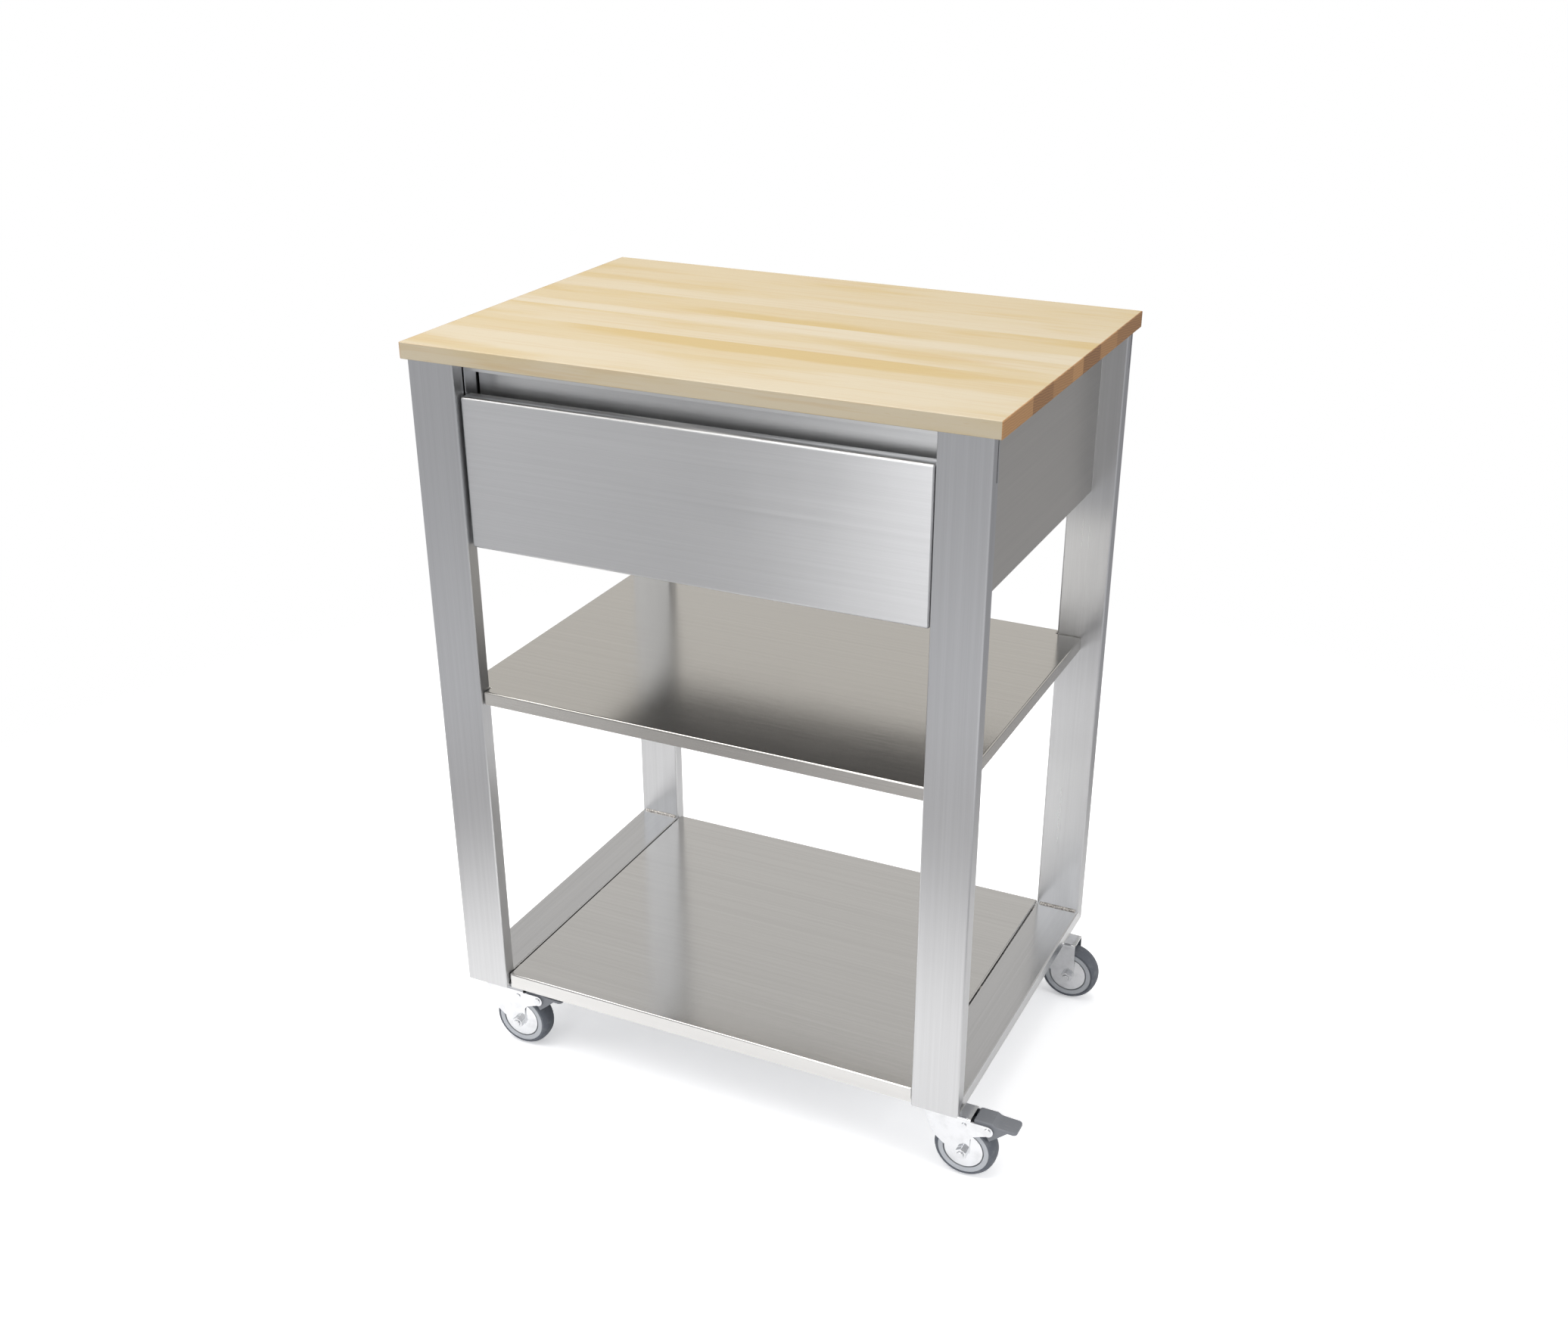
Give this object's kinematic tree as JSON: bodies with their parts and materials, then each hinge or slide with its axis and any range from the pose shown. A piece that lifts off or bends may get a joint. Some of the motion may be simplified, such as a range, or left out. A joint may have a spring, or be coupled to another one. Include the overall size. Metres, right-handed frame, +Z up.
{
  "type": "kitchen island cart",
  "caption": "Steel kitchen cart with a wooden worktop, a full-width drawer, two sheet shelves and braked swivel casters.",
  "frame": {"origin": "on the floor under the middle of the steel frame", "axes": "+X right as seen from the drawer's side, +Y towards the back, +Z up"},
  "size_m": [0.7243, 0.468, 0.9],
  "materials": {
    "wood": "oiled satin",
    "brushed_steel": "brushed",
    "satin_steel": "satin",
    "weld": "as welded",
    "zinc": "bright zinc",
    "chrome": "polished",
    "wheel_plastic": "satin",
    "pedal_plastic": "satin",
    "tyre": "matte"
  },
  "bodies": {
    "frame": {"worktop": "wood", "worktop_screws": "zinc", "leg_front_left": "brushed_steel", "leg_front_right": "brushed_steel", "leg_rear_left": "brushed_steel", "leg_rear_right": "brushed_steel", "bottom_rail_left": "brushed_steel", "bottom_rail_right": "brushed_steel", "weld_beads": "weld", "side_panel_left": "satin_steel", "side_panel_right": "satin_steel", "back_panel": "satin_steel", "front_apron": "satin_steel", "middle_shelf": "satin_steel", "bottom_shelf": "satin_steel", "runner_support_left": "zinc", "runner_support_right": "zinc", "runner_outer_left": "zinc", "runner_outer_right": "zinc", "stem_nuts": "zinc", "caster_head_front_left": "chrome", "caster_head_front_right": "chrome", "caster_head_rear_left": "chrome", "caster_head_rear_right": "chrome"},
    "drawer": {"drawer_front": "brushed_steel", "drawer_side_left": "satin_steel", "drawer_side_right": "satin_steel", "drawer_bottom": "satin_steel", "drawer_back": "satin_steel", "runner_inner_left": "zinc", "runner_inner_right": "zinc"},
    "runners": {"runner_middle_left": "zinc", "runner_middle_right": "zinc"},
    "caster_front_left": {"fork_front_left": "chrome", "axle_bolt_front_left": "zinc", "thread_guards_front_left": "chrome", "fork_pins_front_left": "zinc"},
    "wheel_front_left": {"wheel_core_front_left": "wheel_plastic", "tyre_front_left": "tyre"},
    "pedal_front_left": {"brake_pedal_front_left": "pedal_plastic"},
    "caster_front_right": {"fork_front_right": "chrome", "axle_bolt_front_right": "zinc", "thread_guards_front_right": "chrome", "fork_pins_front_right": "zinc"},
    "wheel_front_right": {"wheel_core_front_right": "wheel_plastic", "tyre_front_right": "tyre"},
    "pedal_front_right": {"brake_pedal_front_right": "pedal_plastic"},
    "caster_rear_left": {"fork_rear_left": "chrome", "axle_bolt_rear_left": "zinc", "thread_guards_rear_left": "chrome"},
    "wheel_rear_left": {"wheel_core_rear_left": "wheel_plastic", "tyre_rear_left": "tyre"},
    "caster_rear_right": {"fork_rear_right": "chrome", "axle_bolt_rear_right": "zinc", "thread_guards_rear_right": "chrome"},
    "wheel_rear_right": {"wheel_core_rear_right": "wheel_plastic", "tyre_rear_right": "tyre"}
  },
  "joints": [
    {"name": "drawer_slide", "type": "slide", "parent": "frame", "child": "drawer", "axis": [0, -1, 0], "range_m": [0, 0.38]},
    {"name": "runners_slide", "type": "slide", "parent": "frame", "child": "runners", "axis": [0, -1, 0], "range_m": [0, 0.19]},
    {"name": "swivel_front_left", "type": "hinge", "parent": "frame", "child": "caster_front_left", "pos_m": [-0.29875, -0.197, 0.09], "axis": [0, 0, 1], "continuous": true},
    {"name": "wheel_spin_front_left", "type": "hinge", "parent": "caster_front_left", "child": "wheel_front_left", "pos_m": [-0.26975, -0.197, 0.0375], "axis": [0, 1, 0], "continuous": true},
    {"name": "brake_pedal_front_left", "type": "hinge", "parent": "caster_front_left", "child": "pedal_front_left", "pos_m": [-0.24165, -0.197, 0.0746], "axis": [0, -1, 0], "range_deg": [0, 12]},
    {"name": "swivel_front_right", "type": "hinge", "parent": "frame", "child": "caster_front_right", "pos_m": [0.29875, -0.197, 0.09], "axis": [0, 0, 1], "continuous": true},
    {"name": "wheel_spin_front_right", "type": "hinge", "parent": "caster_front_right", "child": "wheel_front_right", "pos_m": [0.32775, -0.197, 0.0375], "axis": [0, 1, 0], "continuous": true},
    {"name": "brake_pedal_front_right", "type": "hinge", "parent": "caster_front_right", "child": "pedal_front_right", "pos_m": [0.35585, -0.197, 0.0746], "axis": [0, -1, 0], "range_deg": [0, 12]},
    {"name": "swivel_rear_left", "type": "hinge", "parent": "frame", "child": "caster_rear_left", "pos_m": [-0.29875, 0.197, 0.09], "axis": [0, 0, 1], "continuous": true},
    {"name": "wheel_spin_rear_left", "type": "hinge", "parent": "caster_rear_left", "child": "wheel_rear_left", "pos_m": [-0.26975, 0.197, 0.0375], "axis": [0, 1, 0], "continuous": true},
    {"name": "swivel_rear_right", "type": "hinge", "parent": "frame", "child": "caster_rear_right", "pos_m": [0.29875, 0.197, 0.09], "axis": [0, 0, 1], "continuous": true},
    {"name": "wheel_spin_rear_right", "type": "hinge", "parent": "caster_rear_right", "child": "wheel_rear_right", "pos_m": [0.32775, 0.197, 0.0375], "axis": [0, 1, 0], "continuous": true}
  ],
  "couplings": [
    {"joint": "runners_slide", "follows": "drawer_slide", "ratio": 0.5}
  ]
}
